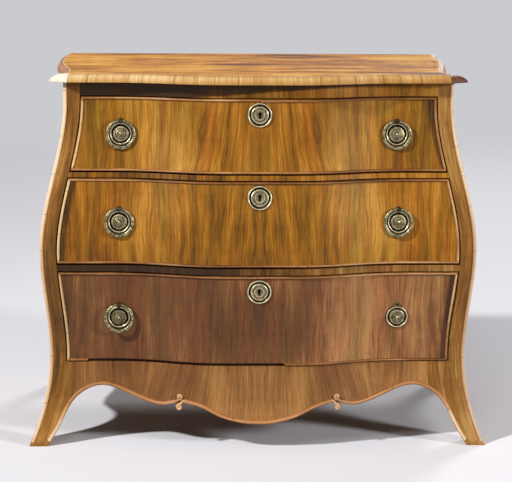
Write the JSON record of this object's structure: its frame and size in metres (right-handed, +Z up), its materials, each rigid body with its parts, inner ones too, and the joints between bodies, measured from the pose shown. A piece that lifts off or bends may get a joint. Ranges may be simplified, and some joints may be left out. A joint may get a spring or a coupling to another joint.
{
  "type": "bombe chest of drawers",
  "caption": "Bombe chest with a bowed serpentine front, splayed feet, shaped apron, eared top and sliding drawers with ring handles.",
  "frame": {"origin": "on the floor, under the middle of the bounding box", "axes": "+Z up, the front faces -Y, +X to the right of someone who faces the front"},
  "size_m": [0.9984, 0.6, 0.81],
  "materials": {
    "top_veneer": "old wax polish over figured veneer",
    "moulding_crossband": "polished cross-grained thumb moulding",
    "drawer_veneer": "polished straight-grained veneer, grain upright",
    "lower_veneer": "polished redder veneer, grain upright",
    "case_veneer": "polished veneer, worn at the feet",
    "side_veneer": "polished veneer, grain upright",
    "light_bead": "pale stringing, polished",
    "cockbead_wood": "rounded bead, polished",
    "carcass_oak": "bare sawn and planed oak, darkened",
    "stamped_brass": "stamped, aged, rubbed bright on the raised parts",
    "lock_iron": "dark forged iron"
  },
  "bodies": {
    "carcase": {"apron_beads": "light_bead", "back_boards": "carcass_oak", "bottom_board": "carcass_oak", "corner_bead_left": "light_bead", "corner_bead_right": "light_bead", "drawer_guides": "carcass_oak", "drawer_runners": "carcass_oak", "drawer_stops": "carcass_oak", "front_apron": "lower_veneer", "front_post_left": "case_veneer", "front_post_right": "case_veneer", "lower_drawer_rail": "case_veneer", "rear_post_left": "side_veneer", "rear_post_right": "side_veneer", "side_panel_left": "side_veneer", "side_panel_right": "side_veneer", "top_moulding_front": "moulding_crossband", "top_moulding_left": "moulding_crossband", "top_moulding_right": "moulding_crossband", "top_panel": "top_veneer", "top_rail": "case_veneer", "upper_drawer_rail": "case_veneer"},
    "top_drawer": {"top_drawer_back": "carcass_oak", "top_drawer_bottom": "carcass_oak", "top_drawer_cockbead": "cockbead_wood", "top_drawer_escutcheon": "stamped_brass", "top_drawer_front": "drawer_veneer", "top_drawer_handle_plates": "stamped_brass", "top_drawer_handle_posts": "stamped_brass", "top_drawer_lock_case": "lock_iron", "top_drawer_side_left": "carcass_oak", "top_drawer_side_right": "carcass_oak"},
    "top_lock_bolt": {"top_drawer_lock_bolt": "lock_iron"},
    "middle_drawer": {"middle_drawer_back": "carcass_oak", "middle_drawer_bottom": "carcass_oak", "middle_drawer_cockbead": "cockbead_wood", "middle_drawer_escutcheon": "stamped_brass", "middle_drawer_front": "drawer_veneer", "middle_drawer_handle_plates": "stamped_brass", "middle_drawer_handle_posts": "stamped_brass", "middle_drawer_lock_case": "lock_iron", "middle_drawer_side_left": "carcass_oak", "middle_drawer_side_right": "carcass_oak"},
    "middle_lock_bolt": {"middle_drawer_lock_bolt": "lock_iron"},
    "bottom_drawer": {"bottom_drawer_back": "carcass_oak", "bottom_drawer_bottom": "carcass_oak", "bottom_drawer_cockbead": "cockbead_wood", "bottom_drawer_escutcheon": "stamped_brass", "bottom_drawer_front": "lower_veneer", "bottom_drawer_handle_plates": "stamped_brass", "bottom_drawer_handle_posts": "stamped_brass", "bottom_drawer_lock_case": "lock_iron", "bottom_drawer_side_left": "carcass_oak", "bottom_drawer_side_right": "carcass_oak"},
    "bottom_lock_bolt": {"bottom_drawer_lock_bolt": "lock_iron"},
    "bottom_drawer_ring_left": {"bottom_ring_left": "stamped_brass"},
    "middle_drawer_ring_left": {"middle_ring_left": "stamped_brass"},
    "middle_drawer_ring_right": {"middle_ring_right": "stamped_brass"},
    "top_drawer_ring_left": {"top_ring_left": "stamped_brass"},
    "top_drawer_ring_right": {"top_ring_right": "stamped_brass"}
  },
  "joints": [
    {"name": "top_drawer_slide", "type": "slide", "parent": "carcase", "child": "top_drawer", "axis": [0, -1, 0], "range_m": [0, 0.38]},
    {"name": "top_bolt_throw", "type": "slide", "parent": "top_drawer", "child": "top_lock_bolt", "axis": [0, 0, 1], "range_m": [0, 0.008]},
    {"name": "top_ring_left_pivot", "type": "hinge", "parent": "top_drawer", "child": "top_drawer_ring_left", "pos_m": [-0.298, -0.21649, 0.7095], "axis": [-1, 0, 0], "range_deg": [0, 170]},
    {"name": "top_ring_right_pivot", "type": "hinge", "parent": "top_drawer", "child": "top_drawer_ring_right", "pos_m": [0.298, -0.21649, 0.7095], "axis": [-1, 0, 0], "range_deg": [0, 170]},
    {"name": "middle_drawer_slide", "type": "slide", "parent": "carcase", "child": "middle_drawer", "axis": [0, -1, 0], "range_m": [0, 0.38]},
    {"name": "middle_bolt_throw", "type": "slide", "parent": "middle_drawer", "child": "middle_lock_bolt", "axis": [0, 0, 1], "range_m": [0, 0.008]},
    {"name": "middle_ring_left_pivot", "type": "hinge", "parent": "middle_drawer", "child": "middle_drawer_ring_left", "pos_m": [-0.302, -0.24742, 0.5225], "axis": [-1, 0, 0], "range_deg": [0, 170]},
    {"name": "middle_ring_right_pivot", "type": "hinge", "parent": "middle_drawer", "child": "middle_drawer_ring_right", "pos_m": [0.302, -0.24742, 0.5225], "axis": [-1, 0, 0], "range_deg": [0, 170]},
    {"name": "bottom_drawer_slide", "type": "slide", "parent": "carcase", "child": "bottom_drawer", "axis": [0, -1, 0], "range_m": [0, 0.38]},
    {"name": "bottom_bolt_throw", "type": "slide", "parent": "bottom_drawer", "child": "bottom_lock_bolt", "axis": [0, 0, 1], "range_m": [0, 0.008]},
    {"name": "bottom_ring_left_pivot", "type": "hinge", "parent": "bottom_drawer", "child": "bottom_drawer_ring_left", "pos_m": [-0.303, -0.24817, 0.3115], "axis": [-1, 0, 0], "range_deg": [-8, 170]}
  ]
}
